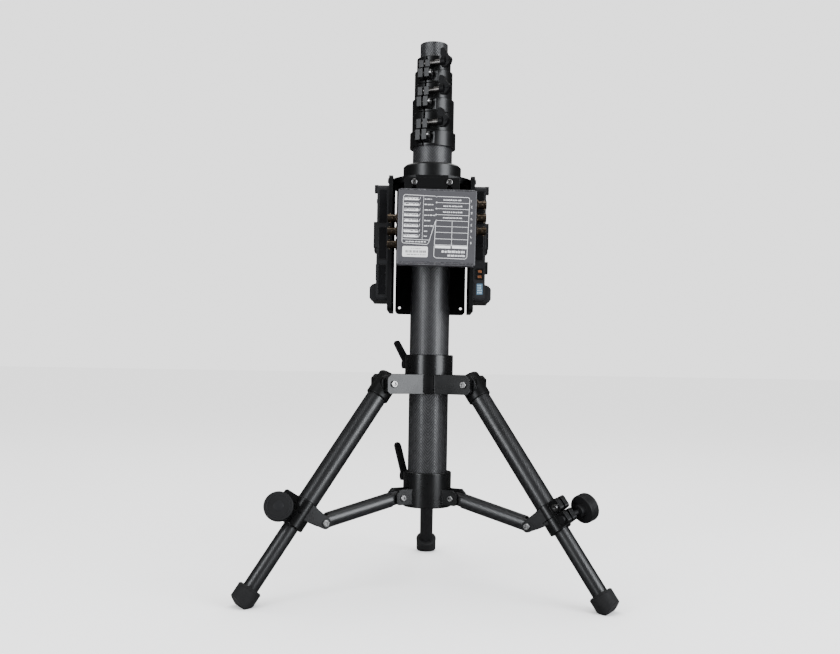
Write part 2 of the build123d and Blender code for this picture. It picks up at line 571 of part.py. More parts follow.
save("upper_collar", collar(*UPPER_Z, UPPER_CHEEK_Z, UPPER_HALF, UPPER_IN, UPPER_REACH, *PIVOT, BOLT_R, UPPER_EAR_Z))
save("lower_collar", collar(*LOWER_Z, LOWER_CHEEK_Z, LOWER_HALF, LOWER_IN, LOWER_REACH, *STRUT_IN, STRUT_BOLT_R,
                            LOWER_EAR_Z))
save("upper_lever", collar_lever(UPPER_EAR_Z, 31.0, 0.40))
save("lower_lever", collar_lever(LOWER_EAR_Z, 44.0, 0.22))
save("upper_pivot_bolts", *pivot_bolts(BOLT_R, UPPER_HALF, *PIVOT, 4.4))
save("lower_pivot_bolts", *pivot_bolts(STRUT_BOLT_R, LOWER_HALF, *STRUT_IN, 3.9))

one = {"hinge": leg_hinge(), "tube": leg_tube(), "clamp": leg_clamp(), "shank": leg_shank(), "knob": leg_knob()}
bolts, one_strut = leg_bolts(), strut()
for n, az in enumerate(LEG_AZ, 1):
    for name, shape in one.items():
        save(f"leg_{name}_{n}", on_leg(az, shape))
    save(f"leg_bolts_{n}", *[on_leg(az, b) for b in bolts])
    save(f"leg_foot_{n}", foot_at(az))
    save(f"strut_{n}", turn(az, one_strut))
print("leg angle", LEG_ANGLE, "length", LEG_LEN)
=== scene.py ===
import math
import random

import bmesh
import bpy
from mathutils import Matrix, Vector


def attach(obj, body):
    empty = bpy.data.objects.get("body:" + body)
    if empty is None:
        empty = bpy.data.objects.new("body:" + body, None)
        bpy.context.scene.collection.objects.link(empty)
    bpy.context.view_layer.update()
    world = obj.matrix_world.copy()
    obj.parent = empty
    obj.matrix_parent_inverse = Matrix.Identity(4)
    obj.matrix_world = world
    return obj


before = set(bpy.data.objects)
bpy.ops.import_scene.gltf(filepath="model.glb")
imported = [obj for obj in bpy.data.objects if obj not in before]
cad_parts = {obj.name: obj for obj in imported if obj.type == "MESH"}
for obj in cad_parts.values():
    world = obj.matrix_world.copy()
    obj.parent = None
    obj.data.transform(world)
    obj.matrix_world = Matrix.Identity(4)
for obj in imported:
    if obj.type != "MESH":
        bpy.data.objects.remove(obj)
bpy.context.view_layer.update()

# Shapes are drawn in millimetres in the CAD's own frame and angles in degrees; TO_M turns a
# finished mesh into metres. The camera, the lights and the sizes inside materials are metres.
MM = 0.001
TO_M = Matrix.Scale(MM, 4)

LEG_AZ = {1: 210.0, 2: 330.0, 3: 90.0}      # where each leg points
PIVOT = (62.0, 258.0)                       # radius and height of a leg's pivot
FLOOR_R = 248.4                             # radius at which a leg's axis meets the floor
STRUT_IN = (41.0, 116.0)                    # radius and height of a strut's inner pivot
LUG_S, LUG_IN = 183.7, 29.5                 # a strut's outer pivot: down the leg, in from its axis
CLAMP_TURN = 27.0                           # how far a leg clamp is turned about its leg
KNOB_PLACE = (23.0, -30.0, 200.0)           # a knob's middle in its clamp's frame
LEVER_AZ = 245.0                            # where the mast clamps' ears point
BOX_X, BOX_Z = 6.6, 446.8                   # the middle of the converter box
BOX_W, BOX_H, BOX_FRONT = 94.0, 89.0, -78.0
BOX_TURN = 0.65                             # the box hangs a little out of true

LEG_ANGLE = math.atan2(FLOOR_R - PIVOT[0], PIVOT[1])
COS, SIN = math.cos(LEG_ANGLE), math.sin(LEG_ANGLE)
LUG = (PIVOT[0] + LUG_S * SIN - LUG_IN * COS, PIVOT[1] - LUG_S * COS - LUG_IN * SIN)
STRUT_LEN = math.hypot(LUG[0] - STRUT_IN[0], LUG[1] - STRUT_IN[1])


def rotation(degrees, axis):
    return Matrix.Rotation(math.radians(degrees), 4, axis)


def add_object(name, data):
    ob = bpy.data.objects.new(name, data)
    bpy.context.scene.collection.objects.link(ob)
    return ob


# ---- camera, floor and lights (metres) ----------------------------------------
LENS, SENSOR, LENS_SHIFT = 42.0, 36.0, (-0.0107, 0.0445)
EYE, ROLL = (0.0, -1.2485, 0.2828), 0.95
NEAR, FAR = 0.05, 50.0
FLOOR_HALF = 30.0
# The paper and the white world are paler to the eye than in the black gloss of the stand.
PAPER_EYE, PAPER_GLOSSY = 0.93, 0.03
WORLD_SOFT, WORLD_GLOSSY, WORLD_EYE = 2.0, 0.05, 2.05
# Two tall panels beside the camera: azimuth, width and power.
KEY_LIGHTS = (("key_left", -40.0, 0.60, 29.0), ("key_right", 52.0, 1.20, 52.0))
KEY_REACH, KEY_HEIGHT, KEY_TALL, KEY_AIM = 2.05, 0.76, 1.5, (0.0, 0.0, 0.45)
KEY_COLOUR = (0.93, 0.96, 1.0)
# Place, target, size and power. The back pair is above the line of sight, so that it fills the
# back without a rim in the front view.
SOFT_LIGHTS = (("top", (0.0, -0.2, 2.2), (0.0, 0.0, 0.3), (1.6, 1.2), 14.0),
               ("back_left", (-1.2, 1.4, 2.2), (0.0, 0.0, 0.4), (0.9, 0.9), 6.0),
               ("back_right", (0.9, 1.5, 2.2), (0.0, 0.0, 0.4), (0.9, 0.9), 6.0))


def make_camera():
    cam = bpy.data.cameras.new("view")
    cam.lens, cam.sensor_width = LENS, SENSOR
    cam.shift_x, cam.shift_y = LENS_SHIFT
    cam.clip_start, cam.clip_end = NEAR, FAR
    ob = add_object("view", cam)
    ob.matrix_world = Matrix.Translation(EYE) @ rotation(90.0, "X") @ rotation(ROLL, "Z")
    bpy.context.scene.camera = ob


def area_light(name, place, target, size, power, colour=(1.0, 1.0, 1.0)):
    data = bpy.data.lights.new(name, "AREA")
    data.shape, data.size, data.size_y = "RECTANGLE", size[0], size[1]
    data.energy, data.color = power, colour
    ob = add_object(name, data)
    ob.location = place
    ob.rotation_euler = (Vector(target) - Vector(place)).to_track_quat("-Z", "Y").to_euler()


def make_studio():
    me = bpy.data.meshes.new("floor")
    bm = bmesh.new()
    bmesh.ops.create_grid(bm, x_segments=1, y_segments=1, size=FLOOR_HALF)
    bm.to_mesh(me)
    bm.free()
    add_object("floor", me)
    mat, tree, shader = new_material("floor_paper", 0.9, Specular_IOR_Level=0.0)
    glossy = node(tree, "ShaderNodeLightPath").outputs["Is Glossy Ray"]
    paper = mix_colour(tree, glossy, (PAPER_EYE,) * 3, (PAPER_GLOSSY,) * 3)
    tree.links.new(paper, shader.inputs["Base Color"])
    me.materials.append(mat)

    world = bpy.data.worlds.new("studio")
    bpy.context.scene.world = world
    world.use_nodes = True
    tree = world.node_tree
    back = tree.nodes["Background"]
    back.inputs["Color"].default_value = (1.0, 1.0, 1.0, 1.0)
    rays = node(tree, "ShaderNodeLightPath").outputs
    strength = WORLD_SOFT
    for ray, value in (("Is Glossy Ray", WORLD_GLOSSY), ("Is Camera Ray", WORLD_EYE)):
        strength = node(tree, "ShaderNodeMix", {0: rays[ray], 2: strength, 3: value}).outputs[0]
    tree.links.new(strength, back.inputs["Strength"])

    for name, azimuth, width, power in KEY_LIGHTS:
        a = math.radians(azimuth)
        place = (KEY_REACH * math.sin(a), -KEY_REACH * math.cos(a), KEY_HEIGHT)
        area_light(name, place, KEY_AIM, (width, KEY_TALL), power, KEY_COLOUR)
    for light in SOFT_LIGHTS:
        area_light(*light)


# ---- shader helpers -----------------------------------------------------------
NOISE_SPAN = (0.3, 0.7)         # the values between which a noise does most of its work
WORN_SPAN = (0.80, 0.995)       # how far an edge's rounded normal leans at full and at no wear


def new_material(name, rough, metallic=0.0, **sockets):
    mat = bpy.data.materials.new(name)
    mat.use_nodes = True
    shader = mat.node_tree.nodes["Principled BSDF"]
    shader.inputs["Roughness"].default_value = rough
    shader.inputs["Metallic"].default_value = metallic
    for key, value in sockets.items():
        shader.inputs[key.replace("_", " ")].default_value = value
    return mat, mat.node_tree, shader


def node(tree, kind, inputs=None, **fields):
    """A new node; an input is either a socket to link or a constant."""
    n = tree.nodes.new(kind)
    for key, value in fields.items():
        setattr(n, key, value)
    for key, value in (inputs or {}).items():
        if isinstance(value, bpy.types.NodeSocket):
            tree.links.new(value, n.inputs[key])
        else:
            n.inputs[key].default_value = value
    return n


def maths(tree, operation, *values):
    return node(tree, "ShaderNodeMath", dict(enumerate(values)), operation=operation).outputs[0]


def vmaths(tree, operation, *values, out=0):
    n = node(tree, "ShaderNodeVectorMath", dict(enumerate(values)), operation=operation)
    return n.outputs[out]


def object_coords(tree):
    return node(tree, "ShaderNodeTexCoord").outputs["Object"]


def noise(tree, coords, scale, detail=3.0, rough=0.55):
    inputs = {"Vector": coords, "Scale": scale, "Detail": detail, "Roughness": rough}
    return node(tree, "ShaderNodeTexNoise", inputs).outputs["Fac"]


def ramp(tree, factor, stops):
    r = node(tree, "ShaderNodeValToRGB", {"Fac": factor})
    while len(r.color_ramp.elements) < len(stops):
        r.color_ramp.elements.new(0.5)
    for element, (place, colour) in zip(r.color_ramp.elements, stops):
        element.position = place
        element.color = (*colour, 1.0)
    return r.outputs["Color"]


def to_range(tree, value, low, high, from_low=0.0, from_high=1.0):
    inputs = {"Value": value, "From Min": from_low, "From Max": from_high, "To Min": low, "To Max": high}
    return node(tree, "ShaderNodeMapRange", inputs).outputs[0]


def mix_value(tree, factor, a, b):
    return node(tree, "ShaderNodeMix", {0: factor, 2: a, 3: b}, data_type="FLOAT").outputs[0]


def mix_colour(tree, factor, a, b):
    n = node(tree, "ShaderNodeMix", {0: factor}, data_type="RGBA")
    for key, value in ((6, a), (7, b)):
        if isinstance(value, bpy.types.NodeSocket):
            tree.links.new(value, n.inputs[key])
        else:
            n.inputs[key].default_value = (*value, 1.0)
    return n.outputs[2]


def between(tree, value, low, high):
    """One inside the span, nought outside it."""
    above = maths(tree, "GREATER_THAN", value, low)
    return maths(tree, "MULTIPLY", above, maths(tree, "LESS_THAN", value, high))


def scaled(colour, k):
    return tuple(c * k for c in colour)


def surface(tree, shader, height, strength, distance, edge=0.0):
    """Bump over rounded edges; hands back how worn each edge is."""
    b = node(tree, "ShaderNodeBump", {"Height": height, "Strength": strength, "Distance": distance})
    worn = None
    if edge:
        round_edge = node(tree, "ShaderNodeBevel", {"Radius": edge}, samples=4).outputs[0]
        tree.links.new(round_edge, b.inputs["Normal"])
        flat = node(tree, "ShaderNodeNewGeometry").outputs["Normal"]
        lean = vmaths(tree, "DOT_PRODUCT", round_edge, flat, out="Value")
        worn = to_range(tree, lean, 1.0, 0.0, *WORN_SPAN)
    tree.links.new(b.outputs["Normal"], shader.inputs["Normal"])
    return worn


# ---- materials ----------------------------------------------------------------
CARBON_STOPS = ((0.22, (0.0007, 0.0007, 0.0009)), (0.50, (0.0042, 0.0043, 0.0050)),
                (0.78, (0.027, 0.0275, 0.030)))
FERRULE_COLOUR, FERRULE_ROUGH = (0.0022, 0.0022, 0.0024), 0.30
TWILL_SLOPE = 1.24                              # how steeply a twill line climbs round the tube
CROSS_WIDTH = 1.6                               # pitch of the threads under it, in twills
LINE_SHARE, CROSS_SHARE = 0.85, 0.15
WEAVE_SHARE, FIBRE_SHARE = 0.8, 0.2
ANODISED_TINT = (0.98, 1.0, 1.08)


def carbon(name, axis_matrix, folds, radius, span=None, twill=4.0, fold_shift=0.0, dark=1.0,
           gloss=0.0, relief=0.55):
    """Carbon cloth round a tube: twill lines that fold back into chevrons, with single fibres.

    axis_matrix carries the tube's own millimetre frame, Z along it, to the CAD's. Outside span
    (millimetres along the tube) the surface is black anodised metal."""
    mat, tree, shader = new_material(name, 0.40, Specular_IOR_Level=0.72, Coat_Weight=0.12,
                                     Coat_Roughness=0.15)
    coords = object_coords(tree)
    m = TO_M @ axis_matrix @ TO_M.inverted()
    moved = vmaths(tree, "SUBTRACT", coords, tuple(m.translation))
    x, y, z = (vmaths(tree, "DOT_PRODUCT", moved, tuple(m.col[k].xyz), out="Value") for k in range(3))
    z = maths(tree, "MULTIPLY", z, 1.0 / MM)
    angle = maths(tree, "MULTIPLY_ADD", maths(tree, "ARCTAN2", y, x), folds / math.pi, fold_shift)
    arc = maths(tree, "MULTIPLY", maths(tree, "PINGPONG", angle, 1.0), math.pi * radius / folds)
    rise = maths(tree, "DIVIDE", maths(tree, "MULTIPLY_ADD", arc, TWILL_SLOPE, z), twill / 2)
    cross = maths(tree, "DIVIDE", maths(tree, "SUBTRACT", arc, z), twill * CROSS_WIDTH)
    line = maths(tree, "PINGPONG", rise, 1.0)
    under = maths(tree, "PINGPONG", cross, 1.0)
    weave = maths(tree, "ADD", maths(tree, "MULTIPLY", line, LINE_SHARE),
                  maths(tree, "MULTIPLY", under, CROSS_SHARE))
    stretched = vmaths(tree, "MULTIPLY", coords, (1.0, 1.0, 0.35))
    fibre = noise(tree, stretched, scale=2600.0, detail=2.0)
    cloud = noise(tree, coords, scale=28.0, detail=2.0)
    shade = maths(tree, "ADD", maths(tree, "MULTIPLY", weave, WEAVE_SHARE),
                  maths(tree, "MULTIPLY", fibre, FIBRE_SHARE))
    colour = ramp(tree, shade, [(place, scaled(tone, dark)) for place, tone in CARBON_STOPS])
    rough = to_range(tree, weave, 0.52 - gloss * 1.6, 0.30 - gloss)
    rough = maths(tree, "ADD", rough, to_range(tree, cloud, -0.03, 0.05, *NOISE_SPAN))
    height = weave
    if span:
        inside = between(tree, z, *span)
        colour = mix_colour(tree, inside, FERRULE_COLOUR, colour)
        rough = mix_value(tree, inside, FERRULE_ROUGH, rough)
        height = maths(tree, "MULTIPLY", height, inside)
    tree.links.new(colour, shader.inputs["Base Color"])
    tree.links.new(rough, shader.inputs["Roughness"])
    surface(tree, shader, height, strength=relief, distance=0.0004)
    return mat


def anodised(name, shade=0.0018, rough=0.28, edge=0.0006, wear=0.012, level=0.50):
    """Black anodised aluminium: cloudy gloss, bead-blast grit and edges rubbed a little paler."""
    mat, tree, shader = new_material(name, rough, Specular_IOR_Level=level)
    coords = object_coords(tree)
    cloud = noise(tree, coords, scale=55.0)
    grit = noise(tree, coords, scale=2400.0, detail=2.0)
    worn = surface(tree, shader, grit, strength=0.10, distance=0.00006, edge=edge)
    spots = to_range(tree, noise(tree, coords, scale=320.0, detail=5.0), 0.25, 1.0, 0.4, 0.65)
    patch = maths(tree, "MULTIPLY", worn, spots)
    base = ramp(tree, cloud, [(0.30, scaled(ANODISED_TINT, shade * 0.85)),
                              (0.70, scaled(ANODISED_TINT, shade * 1.2))])
    tree.links.new(mix_colour(tree, patch, base, (wear, wear, wear * 1.05)), shader.inputs["Base Color"])
    tree.links.new(to_range(tree, cloud, rough - 0.02, rough + 0.03, *NOISE_SPAN), shader.inputs["Roughness"])
    return mat


def painted(name, colour, rough, grain=1400.0, strength=0.2, edge=0.0006, wear=None, level=0.5):
    """Paint or powder coat with orange peel, a faint dusting and edges where it has thinned."""
    mat, tree, shader = new_material(name, rough, Specular_IOR_Level=level)
    coords = object_coords(tree)
    cloud = noise(tree, coords, scale=30.0)
    grit = noise(tree, coords, scale=grain, detail=2.0)
    worn = surface(tree, shader, grit, strength, distance=0.00012, edge=edge)
    base = ramp(tree, cloud, [(0.30, scaled(colour, 0.94)), (0.70, scaled(colour, 1.06))])
    if wear:
        spots = to_range(tree, noise(tree, coords, scale=380.0, detail=5.0), 0.0, 1.0, 0.45, 0.70)
        base = mix_colour(tree, maths(tree, "MULTIPLY", worn, spots), base, wear)
    tree.links.new(base, shader.inputs["Base Color"])
    tree.links.new(to_range(tree, grit, rough - 0.06, rough + 0.08, *NOISE_SPAN), shader.inputs["Roughness"])
    return mat


def metal(name, colour, rough, brush=(60.0, 60.0, 1400.0), tarnish=None):
    """Bright metal with fine turning lines and a film of tarnish in patches."""
    mat, tree, shader = new_material(name, rough, metallic=1.0)
    coords = object_coords(tree)
    lines = noise(tree, vmaths(tree, "MULTIPLY", coords, brush), scale=1.0, detail=4.0)
    cloud = noise(tree, coords, scale=220.0)
    film = ramp(tree, cloud, [(0.30, tarnish or scaled(colour, 0.7)), (0.60, colour)])
    tree.links.new(film, shader.inputs["Base Color"])
    tree.links.new(to_range(tree, lines, rough - 0.06, rough + 0.10, *NOISE_SPAN), shader.inputs["Roughness"])
    surface(tree, shader, lines, strength=0.10, distance=0.00005, edge=0.0003)
    return mat


def plastic(name, colour, rough, grain=1700.0, strength=0.22, bands=None, level=0.30):
    """Moulded plastic with a spark-eroded grain.

    bands makes part of a piece metal: an axis, the span along it in millimetres, and the metal's
    colour and roughness."""
    mat, tree, shader = new_material(name, rough, Specular_IOR_Level=level)
    coords = object_coords(tree)
    cells = node(tree, "ShaderNodeTexVoronoi", {"Vector": coords, "Scale": grain}).outputs["Distance"]
    cloud = noise(tree, coords, scale=40.0)
    surface(tree, shader, cells, strength, distance=0.0001, edge=0.0005)
    base = ramp(tree, cloud, [(0.30, scaled(colour, 0.86)), (0.70, scaled(colour, 1.14))])
    gloss = to_range(tree, cloud, rough - 0.05, rough + 0.06, *NOISE_SPAN)
    if bands:
        axis, start, end, other, other_rough = bands
        part = between(tree, vmaths(tree, "DOT_PRODUCT", coords, axis, out="Value"), start * MM, end * MM)
        lines = noise(tree, vmaths(tree, "MULTIPLY", coords, (900.0, 900.0, 900.0)), scale=1.0)
        base = mix_colour(tree, part, base, ramp(tree, lines, [(0.3, scaled(other, 0.8)), (0.7, other)]))
        gloss = mix_value(tree, part, gloss, other_rough)
        tree.links.new(part, shader.inputs["Metallic"])
    tree.links.new(base, shader.inputs["Base Color"])
    tree.links.new(gloss, shader.inputs["Roughness"])
    return mat


def rubber(name, colour):
    """Matt rubber: soft mottling, scuffs and a dusty bloom."""
    mat, tree, shader = new_material(name, 0.72, Sheen_Weight=0.03, Sheen_Roughness=0.5,
                                     Specular_IOR_Level=0.3)
    coords = object_coords(tree)
    cloud = noise(tree, coords, scale=70.0, detail=5.0)
    scuff = noise(tree, coords, scale=420.0, detail=4.0, rough=0.7)
    surface(tree, shader, scuff, strength=0.3, distance=0.0002, edge=0.0008)
    bloom = ramp(tree, cloud, [(0.35, colour), (0.62, scaled(colour, 1.3)), (0.85, scaled(colour, 1.9))])
    tree.links.new(bloom, shader.inputs["Base Color"])
    tree.links.new(to_range(tree, scuff, 0.58, 0.80, *NOISE_SPAN), shader.inputs["Roughness"])
    return mat


def circuit(name):
    """Solder mask over a net of tracks and pads."""
    mat, tree, shader = new_material(name, 0.3)
    coords = object_coords(tree)
    cells = node(tree, "ShaderNodeTexVoronoi", {"Vector": coords, "Scale": 260.0},
                 distance="CHEBYCHEV", feature="F1").outputs["Distance"]
    tracks = maths(tree, "PINGPONG", cells, 0.12)
    mask = ramp(tree, tracks, [(0.03, (0.010, 0.055, 0.020)), (0.07, (0.018, 0.105, 0.035))])
    tree.links.new(mask, shader.inputs["Base Color"])
    gloss = to_range(tree, noise(tree, coords, scale=200.0), 0.22, 0.40, *NOISE_SPAN)
    tree.links.new(gloss, shader.inputs["Roughness"])
    surface(tree, shader, tracks, strength=0.2, distance=0.0001)
    return mat


def ink(name, colour, rough=0.45):
    """Screen print: opaque, faintly uneven at its edges and slightly raised."""
    mat, tree, shader = new_material(name, rough)
    coords = object_coords(tree)
    spots = noise(tree, coords, scale=1500.0, detail=4.0, rough=0.7)
    cloud = noise(tree, coords, scale=90.0)
    cover = maths(tree, "ADD", maths(tree, "MULTIPLY", spots, 0.6), maths(tree, "MULTIPLY", cloud, 0.4))
    film = ramp(tree, cover, [(0.28, scaled(colour, 0.6)), (0.42, scaled(colour, 0.93)), (0.7, colour)])
    tree.links.new(film, shader.inputs["Base Color"])
    tree.links.new(to_range(tree, spots, rough - 0.05, rough + 0.12, *NOISE_SPAN), shader.inputs["Roughness"])
    surface(tree, shader, spots, strength=0.08, distance=0.00005)
    return mat


# ---- frames of the leaning pieces ---------------------------------------------
def frame_matrix(az, origin, x_dir, z_dir):
    x, z = Vector(x_dir), Vector(z_dir)
    y = z.cross(x)
    m = Matrix.Identity(4)
    for k, v in enumerate((x, y, z)):
        m.col[k] = (*v, 0.0)
    m.col[3] = (*origin, 1.0)
    return rotation(az, "Z") @ m


def leg_frame(n):
    """Z runs down the leg from its pivot, X points outwards and up."""
    return frame_matrix(LEG_AZ[n], (PIVOT[0], 0.0, PIVOT[1]), (COS, 0.0, SIN), (SIN, 0.0, -COS))


def strut_frame(n):
    """Z runs out along the strut from its pivot on the lower collar."""
    dx, dz = (LUG[0] - STRUT_IN[0]) / STRUT_LEN, (LUG[1] - STRUT_IN[1]) / STRUT_LEN
    return frame_matrix(LEG_AZ[n], (STRUT_IN[0], 0.0, STRUT_IN[1]), (-dz, 0.0, dx), (dx, 0.0, dz))


def box_frame():
    """The box's middle on the mast's axis plane, turned as the box hangs."""
    return Matrix.Translation((BOX_X, 0, BOX_Z)) @ rotation(BOX_TURN, "Y")


def box_face():
    """U from the left edge, V down from the top edge, W out of the cover."""
    m = Matrix(((1, 0, 0, -BOX_W / 2), (0, 0, -1, BOX_FRONT), (0, -1, 0, BOX_H / 2), (0, 0, 0, 1)))
    return box_frame() @ m


def along_x(x, y, z):
    """Carries a lathe's Z onto +X at a point."""
    return Matrix.Translation((x, y, z)) @ rotation(90.0, "Y")


# ---- mesh helpers -------------------------------------------------------------
def rbox(bm, x0, x1, y0, y1, z0, z1, r=0.0):
    """A block with its edges rounded by r."""
    made = bmesh.ops.create_cube(bm, size=1.0)["verts"]
    bmesh.ops.scale(bm, vec=(x1 - x0, y1 - y0, z1 - z0), verts=made)
    bmesh.ops.translate(bm, vec=((x0 + x1) / 2, (y0 + y1) / 2, (z0 + z1) / 2), verts=made)
    if r:
        edges = list({e for v in made for e in v.link_edges})
        bmesh.ops.bevel(bm, geom=edges, offset=r, segments=2, profile=0.6, affect="EDGES")


def placed_rbox(bm, matrix, *extents):
    """An rbox that is turned or mirrored before it joins the mesh."""
    part = bmesh.new()
    rbox(part, *extents)
    part.transform(matrix)
    me = bpy.data.meshes.new("part")
    part.to_mesh(me)
    part.free()
    bm.from_mesh(me)
    bpy.data.meshes.remove(me)


def lathe(bm, profile, segments=48, matrix=None):
    """Turns a profile of (radius, along) points about Z."""
    rings = []
    for k in range(segments):
        a = 2 * math.pi * k / segments
        ring = []
        for r, z in profile:
            p = Vector((r * math.cos(a), r * math.sin(a), z))
            ring.append(bm.verts.new(matrix @ p if matrix else p))
        rings.append(ring)
    for k in range(segments):
        a, b = rings[k], rings[(k + 1) % segments]
        for j in range(len(profile) - 1):
            bm.faces.new((a[j], b[j], b[j + 1], a[j + 1]))


def ridge(root, crest, z, root_half, crest_half):
    """The profile of a ring whose crest stands out of a wall, or into a bore, at its root."""
    return [(root, z - root_half), (crest, z - crest_half), (crest, z + crest_half), (root, z + root_half)]


def polygon(bm, points, w0, w1):
    """A flat outline in the first two axes, given thickness along the third."""
    low = [bm.verts.new((u, v, w0)) for u, v in points]
    high = [bm.verts.new((u, v, w1)) for u, v in points]
    bm.faces.new(low)
    bm.faces.new(high[::-1])
    for k in range(len(points)):
        j = (k + 1) % len(points)
        bm.faces.new((low[j], low[k], high[k], high[j]))


def block(bm, u0, v0, u1, v1, w0, w1):
    polygon(bm, [(u0, v0), (u1, v0), (u1, v1), (u0, v1)], w0, w1)


def stroke(bm, points, width, w0, w1, closed=False):
    """A line of even width through the points, as thin plates that overlap at the joints."""
    count = len(points) if closed else len(points) - 1
    for k in range(count):
        a, b = Vector(points[k]), Vector(points[(k + 1) % len(points)])
        d = (b - a).normalized() * (width / 2)
        s = Vector((-d.y, d.x))
        a2, b2 = a - d * 0.8, b + d * 0.8
        polygon(bm, [tuple(a2 - s), tuple(b2 - s), tuple(b2 + s), tuple(a2 + s)], w0, w1)


def rounded(x0, y0, x1, y1, r, steps=5):
    """The outline of a rectangle with round corners."""
    out = []
    corners = ((x1 - r, y1 - r, 0), (x0 + r, y1 - r, 90), (x0 + r, y0 + r, 180), (x1 - r, y0 + r, 270))
    for cx, cy, a0 in corners:
        for k in range(steps + 1):
            a = math.radians(a0 + 90 * k / steps)
            out.append((cx + r * math.cos(a), cy + r * math.sin(a)))
    return out


def piece(name, body, mat, bm, matrix=None, smooth=None):
    """Makes an object of the mesh, in metres; faces that meet flatter than smooth shade as one."""
    bmesh.ops.recalc_face_normals(bm, faces=bm.faces[:])
    bm.transform(TO_M @ matrix if matrix else TO_M)
    me = bpy.data.meshes.new(name)
    bm.to_mesh(me)
    bm.free()
    me.materials.append(mat)
    ob = add_object(name, me)
    if smooth:
        me.shade_smooth()
        me.set_sharp_from_angle(angle=math.radians(smooth))
    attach(ob, body)


# ---- the box's printed face (fractions of its width and height) ----------------
PRINT, LABEL, LABEL_PRINT = (-0.02, 0.06), (-0.02, 0.16), (0.14, 0.20)     # below and above the face
SEGMENTS = {1: "bc", 2: "abged", 3: "abgcd", 4: "fgbc", 5: "afgcd", 6: "afgcde", 7: "abc", 8: "abcdefg"}
PANEL_OUTLINE = ((.085, .073), (.470, .085), (.486, .096), (.502, .087), (.895, .092), (.910, .115),
                 (.892, .895), (.870, .918), (.495, .912), (.470, .885), (.486, .400), (.400, .715),
                 (.378, .736), (.080, .723), (.0625, .703), (.067, .095))
SWITCH_ROWS = ((.127, .090), (.200, .118), (.273, .112), (.343, .138), (.416, .090), (.486, .112),
               (.558, .040), (.625, .046))                                  # height, length of the words
FIGURE_ROWS = (.139, .219, .300, .380, .460, .540, .620, .700)
TICKS, TICK_PITCH, DARK_TICK_PITCH = 12, 1.42, 1.30                         # millimetres


def digit(bm, value, u, v, h, width, w0, w1):
    """A segment figure standing on its head, as the box does."""
    s = h / 2
    ends = {"a": ((0, 0), (s, 0)), "b": ((s, 0), (s, s)), "c": ((s, s), (s, h)), "d": ((0, h), (s, h)),
            "e": ((0, s), (0, h)), "f": ((0, 0), (0, s)), "g": ((0, s), (s, s))}
    for key in SEGMENTS[value]:
        points = [(u + s / 2 - x, v + h / 2 - y) for x, y in ends[key]]
        stroke(bm, points, width, w0, w1)


def words(bm, rng, u0, u1, v, h, w0, w1):
    """A run of short blocks of uneven length that stands for small print."""
    u = u0
    while u < u1 - 0.6:
        word = min(u1, u + rng.uniform(1.6, 4.2))
        while u < word - 0.3:
            step = rng.uniform(0.45, 0.85)
            tall = h * rng.choice((0.62, 0.62, 0.8, 1.0))
            block(bm, u, v - tall / 2, min(word, u + step), v + h * 0.35, w0, w1)
            u += step + 0.17
        u = word + 0.75


def at(u, v):
    """A point of the face in millimetres."""
    return (u * BOX_W, v * BOX_H)


def switch_row(pale, dark, rng, v, length):
    """A row of ticks of uneven height, the mark beside it and its words."""
    top = (v - .020) * BOX_H
    for j in range(TICKS):
        x = .080 * BOX_W + j * TICK_PITCH
        block(pale, x, top, x + 0.80, top + 0.75, *PRINT)
        high = top + 1.05 + 0.45 * rng.randrange(3)
        block(pale, x, high, x + TICK_PITCH, top + 3.35, *PRINT)
    for j in range(TICKS + 1):
        x = .080 * BOX_W + j * DARK_TICK_PITCH + 0.3
        block(dark, x, top - 0.75, x + 0.55, top - 0.2, *PRINT)
    stroke(pale, [at(.272, v + .014), at(.284, v - .022)], 0.36, *PRINT)
    words(pale, rng, .338 * BOX_W, (.338 + length) * BOX_W, v * BOX_H, 1.5, *PRINT)


